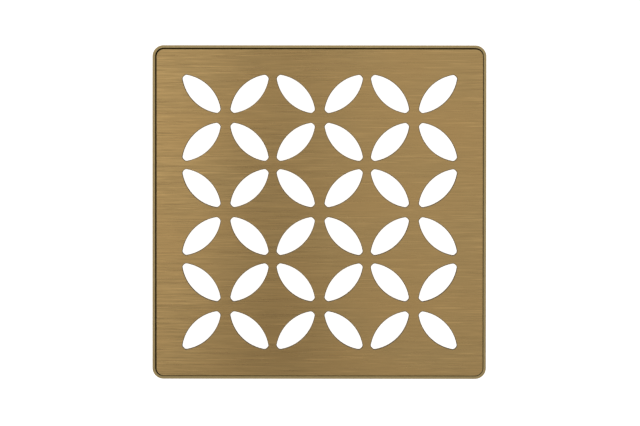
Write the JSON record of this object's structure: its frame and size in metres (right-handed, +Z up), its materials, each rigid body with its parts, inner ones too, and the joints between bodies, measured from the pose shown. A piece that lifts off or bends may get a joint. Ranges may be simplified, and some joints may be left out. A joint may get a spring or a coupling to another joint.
{
  "type": "floor drain grate",
  "caption": "Square bronze-finished floor drain grate with rows of petal holes, lying loose in a thin tile frame with a hidden ledge, rubber bumpers, anchor lugs and levelling feet.",
  "frame": {"origin": "middle of the square, on the surface that the foot pads stand on", "axes": "+X to the right along the brush lines, +Y to the back, +Z up towards the walked-on face"},
  "size_m": [0.1, 0.1, 0.018],
  "materials": {
    "bronze_plate": "satin",
    "bronze_frame": "satin",
    "plain_stainless": "polished",
    "black_rubber": "matte",
    "foot_nylon": "satin"
  },
  "bodies": {
    "frame": {"frame_rim": "bronze_frame", "support_ledge": "bronze_frame", "threaded_sleeve_front_left": "bronze_frame", "side_bumper_front_left": "black_rubber", "end_bumper_front_left": "black_rubber", "threaded_sleeve_front_right": "bronze_frame", "side_bumper_front_right": "black_rubber", "end_bumper_front_right": "black_rubber", "threaded_sleeve_back_left": "bronze_frame", "side_bumper_back_left": "black_rubber", "end_bumper_back_left": "black_rubber", "threaded_sleeve_back_right": "bronze_frame", "side_bumper_back_right": "black_rubber", "end_bumper_back_right": "black_rubber", "anchor_lug_right": "bronze_frame", "anchor_lug_back": "bronze_frame", "anchor_lug_left": "bronze_frame", "anchor_lug_front": "bronze_frame"},
    "grate": {"grate_plate": "bronze_plate"},
    "foot_front_left": {"foot_pad_front_left": "foot_nylon"},
    "stud_front_left": {"levelling_stud_front_left": "plain_stainless"},
    "foot_front_right": {"foot_pad_front_right": "foot_nylon"},
    "stud_front_right": {"levelling_stud_front_right": "plain_stainless"},
    "foot_back_left": {"foot_pad_back_left": "foot_nylon"},
    "stud_back_left": {"levelling_stud_back_left": "plain_stainless"},
    "foot_back_right": {"foot_pad_back_right": "foot_nylon"},
    "stud_back_right": {"levelling_stud_back_right": "plain_stainless"}
  },
  "joints": [
    {"name": "grate_lift_out", "type": "slide", "parent": "frame", "child": "grate", "axis": [0, 0, 1], "range_m": [0, 0.03]},
    {"name": "foot_travel_front_left", "type": "slide", "parent": "frame", "child": "foot_front_left", "axis": [0, 0, -1], "range_m": [0, 0.006]},
    {"name": "stud_turn_front_left", "type": "hinge", "parent": "foot_front_left", "child": "stud_front_left", "pos_m": [-0.0444, -0.0444, 0.008], "axis": [0, 0, -1], "range_deg": [0, 3086]},
    {"name": "foot_travel_front_right", "type": "slide", "parent": "frame", "child": "foot_front_right", "axis": [0, 0, -1], "range_m": [0, 0.006]},
    {"name": "stud_turn_front_right", "type": "hinge", "parent": "foot_front_right", "child": "stud_front_right", "pos_m": [0.0444, -0.0444, 0.008], "axis": [0, 0, -1], "range_deg": [0, 3086]},
    {"name": "foot_travel_back_left", "type": "slide", "parent": "frame", "child": "foot_back_left", "axis": [0, 0, -1], "range_m": [0, 0.006]},
    {"name": "stud_turn_back_left", "type": "hinge", "parent": "foot_back_left", "child": "stud_back_left", "pos_m": [-0.0444, 0.0444, 0.008], "axis": [0, 0, -1], "range_deg": [0, 3086]},
    {"name": "foot_travel_back_right", "type": "slide", "parent": "frame", "child": "foot_back_right", "axis": [0, 0, -1], "range_m": [0, 0.006]},
    {"name": "stud_turn_back_right", "type": "hinge", "parent": "foot_back_right", "child": "stud_back_right", "pos_m": [0.0444, 0.0444, 0.008], "axis": [0, 0, -1], "range_deg": [0, 3086]}
  ],
  "couplings": [
    {"joint": "stud_turn_front_left", "follows": "foot_travel_front_left", "rad_per_m": 8976},
    {"joint": "stud_turn_front_right", "follows": "foot_travel_front_right", "rad_per_m": 8976},
    {"joint": "stud_turn_back_left", "follows": "foot_travel_back_left", "rad_per_m": 8976},
    {"joint": "stud_turn_back_right", "follows": "foot_travel_back_right", "rad_per_m": 8976}
  ]
}
